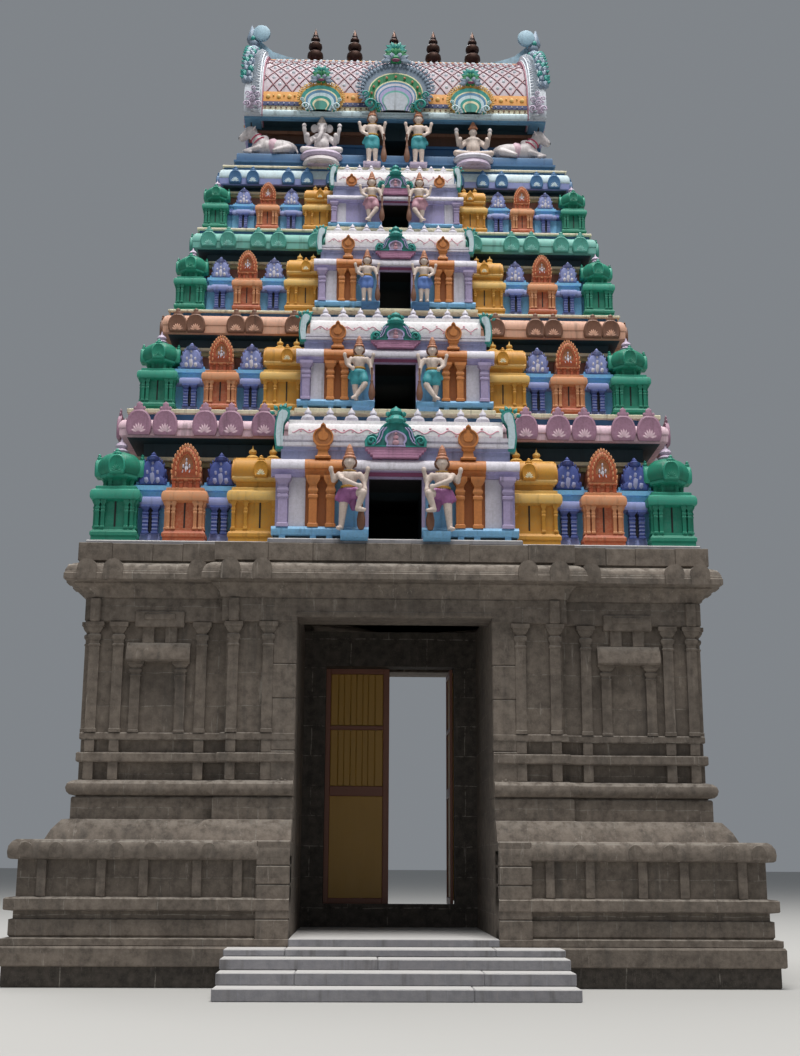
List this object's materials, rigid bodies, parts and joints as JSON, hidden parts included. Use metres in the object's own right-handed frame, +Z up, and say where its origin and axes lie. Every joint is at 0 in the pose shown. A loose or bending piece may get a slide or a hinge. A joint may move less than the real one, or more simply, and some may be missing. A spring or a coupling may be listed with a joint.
{
  "type": "gopuram",
  "caption": "Temple gate tower: a granite base with a wide passage and pivoted doors, stepped painted tiers of small shrines, and a barrel roof with pot finials.",
  "frame": {"origin": "on the ground, at the centre of the plan", "axes": "+X to the right seen from the front, +Y to the rear through the passage, +Z up; the front faces -Y"},
  "size_m": [9.24, 10.3, 14.7],
  "materials": {
    "granite": "weathered rough granite with pale mortar joints",
    "cream_plaster": "painted lime plaster, matt, weathered",
    "wall_plaster": "painted lime plaster, matt, weathered",
    "pink_plaster": "painted lime plaster, matt, weathered",
    "salmon_plaster": "painted lime plaster, matt, weathered",
    "mint_plaster": "painted lime plaster, matt, weathered",
    "sky_plaster": "painted lime plaster, matt, weathered",
    "shrine_plaster": "painted lime plaster, satin, weathered",
    "bay_plaster": "painted lime plaster, matt, weathered",
    "roof_plaster": "painted lime plaster with a red lattice, matt",
    "gable_plaster": "painted lime plaster, matt, weathered",
    "dark_copper": "dark tarnished metal",
    "timber": "dark red-brown paint on timber, worn",
    "ochre_board": "ochre paint on boards, worn"
  },
  "bodies": {
    "building": {"foundation": "granite", "passage_floor": "granite", "front_steps": "granite", "rear_steps": "granite", "plinth_left": "granite", "plinth_right": "granite", "stone_wall_left": "granite", "stone_wall_right": "granite", "front_lintel": "granite", "rear_lintel": "granite", "stone_cornice": "granite", "tower_floor": "cream_plaster", "door_threshold": "granite", "door_post_left": "granite", "door_post_right": "granite", "door_lintel": "granite", "tier_1_walls": "wall_plaster", "tier_1_cornice": "pink_plaster", "tier_1_left_shrines": "shrine_plaster", "tier_1_right_shrines": "shrine_plaster", "tier_1_front_bay": "bay_plaster", "tier_1_rear_bay": "bay_plaster", "tier_2_walls": "wall_plaster", "tier_2_cornice": "salmon_plaster", "tier_2_left_shrines": "shrine_plaster", "tier_2_right_shrines": "shrine_plaster", "tier_2_front_bay": "bay_plaster", "tier_2_rear_bay": "bay_plaster", "tier_3_walls": "wall_plaster", "tier_3_cornice": "mint_plaster", "tier_3_left_shrines": "shrine_plaster", "tier_3_right_shrines": "shrine_plaster", "tier_3_front_bay": "bay_plaster", "tier_3_rear_bay": "bay_plaster", "tier_4_walls": "wall_plaster", "tier_4_cornice": "sky_plaster", "tier_4_left_shrines": "shrine_plaster", "tier_4_right_shrines": "shrine_plaster", "tier_4_front_bay": "bay_plaster", "tier_4_rear_bay": "bay_plaster", "neck_slab": "sky_plaster", "neck_walls": "wall_plaster", "roof_vault": "roof_plaster", "left_gable": "gable_plaster", "right_gable": "gable_plaster", "ridge_finials": "dark_copper"},
    "left_leaf": {"left_leaf_frame": "timber", "left_leaf_boards": "ochre_board"},
    "right_leaf": {"right_leaf_frame": "timber", "right_leaf_boards": "ochre_board"}
  },
  "joints": [
    {"name": "left_leaf_hinge", "type": "hinge", "parent": "building", "child": "left_leaf", "pos_m": [-0.915, 0.115, 2.5], "axis": [0, 0, 1], "range_deg": [0, 90]},
    {"name": "right_leaf_hinge", "type": "hinge", "parent": "building", "child": "right_leaf", "pos_m": [0.915, 0.115, 2.5], "axis": [0, 0, 1], "range_deg": [0, 90]}
  ]
}
